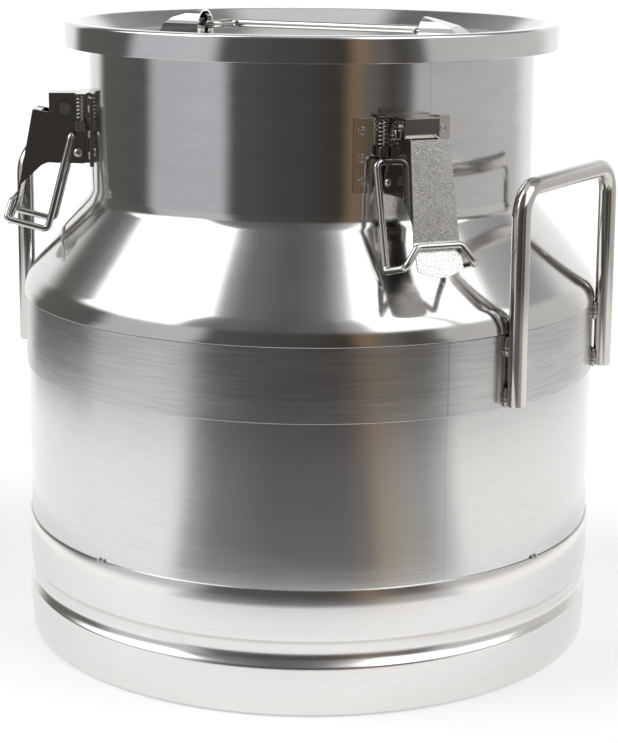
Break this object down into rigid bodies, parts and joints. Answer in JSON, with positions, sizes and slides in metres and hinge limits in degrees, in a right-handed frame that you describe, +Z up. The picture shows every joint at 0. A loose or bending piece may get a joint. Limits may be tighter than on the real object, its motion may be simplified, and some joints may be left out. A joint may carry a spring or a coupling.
{
  "type": "milking machine bucket can",
  "caption": "Stainless steel bucket can for a milking machine, with a clamped lift-off lid, sprung toggle latches, a lid handle and welded carrying handles.",
  "frame": {"origin": "centre of the foot ring at the level it stands on", "axes": "+Z up along the can's axis; the side seen in front faces -Y; +X to its right"},
  "size_m": [0.3508, 0.338, 0.3589],
  "materials": {
    "body_steel": "horizontally brushed",
    "foot_steel": "satin",
    "weld_steel": "cleaned weld",
    "shoulder_steel": "fine polished",
    "band_steel": "coarse horizontal brushing",
    "neck_steel": "fine polished with light brushing",
    "rod_steel": "polished rod",
    "lid_steel": "satin with turned marks",
    "gasket": "white silicone",
    "ear_steel": "polished",
    "latch_steel": "pressed, bright",
    "lever_steel": "satin pressed",
    "spring_steel": "drawn wire"
  },
  "bodies": {
    "can": {"body_shell": "body_steel", "body_bottom": "body_steel", "foot_ring": "foot_steel", "foot_tacks": "weld_steel", "shoulder_cone": "shoulder_steel", "shoulder_band": "band_steel", "neck_shell": "neck_steel", "handle_right": "rod_steel", "handle_left": "rod_steel", "handle_welds": "weld_steel", "latch_front_base": "latch_steel", "latch_front_springs": "spring_steel", "latch_left_base": "latch_steel", "latch_left_springs": "spring_steel", "latch_rear_base": "latch_steel", "latch_rear_springs": "spring_steel"},
    "lid": {"lid_pan": "lid_steel", "lid_gasket": "gasket", "lid_ear_right": "ear_steel", "lid_ear_left": "ear_steel", "lid_pivot_right": "ear_steel", "lid_pivot_left": "ear_steel"},
    "lid_grip": {"lid_handle": "rod_steel"},
    "carriage_front": {"latch_front_carriage": "latch_steel", "latch_front_hinge_pin": "rod_steel"},
    "lever_front": {"latch_front_lever": "lever_steel", "latch_front_studs": "rod_steel"},
    "bail_front": {"latch_front_bail": "rod_steel"},
    "carriage_left": {"latch_left_carriage": "latch_steel", "latch_left_hinge_pin": "rod_steel"},
    "lever_left": {"latch_left_lever": "lever_steel", "latch_left_studs": "rod_steel"},
    "bail_left": {"latch_left_bail": "rod_steel"},
    "carriage_rear": {"latch_rear_carriage": "latch_steel", "latch_rear_hinge_pin": "rod_steel"},
    "lever_rear": {"latch_rear_lever": "lever_steel", "latch_rear_studs": "rod_steel"},
    "bail_rear": {"latch_rear_bail": "rod_steel"}
  },
  "joints": [
    {"name": "lid_lift", "type": "slide", "parent": "can", "child": "lid", "axis": [0, 0, 1], "range_m": [0, 0.25]},
    {"name": "lid_handle_swing", "type": "hinge", "parent": "lid", "child": "lid_grip", "pos_m": [0, 0, 0.35], "axis": [0.891, -0.454, 0], "range_deg": [0, 100]},
    {"name": "carriage_front_slide", "type": "slide", "parent": "can", "child": "carriage_front", "axis": [0, 0, 1], "range_m": [0, 0.0042], "stiffness_N_per_m": 3000, "springref_m": -0.003, "deforming": ["latch_front_springs"]},
    {"name": "lever_front_hinge", "type": "hinge", "parent": "carriage_front", "child": "lever_front", "pos_m": [0.05297, -0.1311, 0.3042], "axis": [0.9272, 0.3746, 0], "range_deg": [-110, 0]},
    {"name": "bail_front_hinge", "type": "hinge", "parent": "lever_front", "child": "bail_front", "pos_m": [0.05155, -0.12758, 0.2898], "axis": [-0.9272, -0.3746, 0], "range_deg": [0, 125]},
    {"name": "carriage_left_slide", "type": "slide", "parent": "can", "child": "carriage_left", "axis": [0, 0, 1], "range_m": [0, 0.0042], "stiffness_N_per_m": 3000, "springref_m": -0.003, "deforming": ["latch_left_springs"]},
    {"name": "lever_left_hinge", "type": "hinge", "parent": "carriage_left", "child": "lever_left", "pos_m": [-0.14131, -0.00494, 0.3042], "axis": [0.0349, -0.9994, 0], "range_deg": [-110, 0]},
    {"name": "bail_left_hinge", "type": "hinge", "parent": "lever_left", "child": "bail_left", "pos_m": [-0.13752, -0.0048, 0.2898], "axis": [-0.0349, 0.9994, 0], "range_deg": [0, 125]},
    {"name": "carriage_rear_slide", "type": "slide", "parent": "can", "child": "carriage_rear", "axis": [0, 0, 1], "range_m": [0, 0.0042], "stiffness_N_per_m": 3000, "springref_m": -0.003, "deforming": ["latch_rear_springs"]},
    {"name": "lever_rear_hinge", "type": "hinge", "parent": "carriage_rear", "child": "lever_rear", "pos_m": [0.07701, 0.11859, 0.3042], "axis": [-0.8387, 0.5446, 0], "range_deg": [-110, 0]},
    {"name": "bail_rear_hinge", "type": "hinge", "parent": "lever_rear", "child": "bail_rear", "pos_m": [0.07494, 0.1154, 0.2898], "axis": [0.8387, -0.5446, 0], "range_deg": [0, 125]}
  ]
}
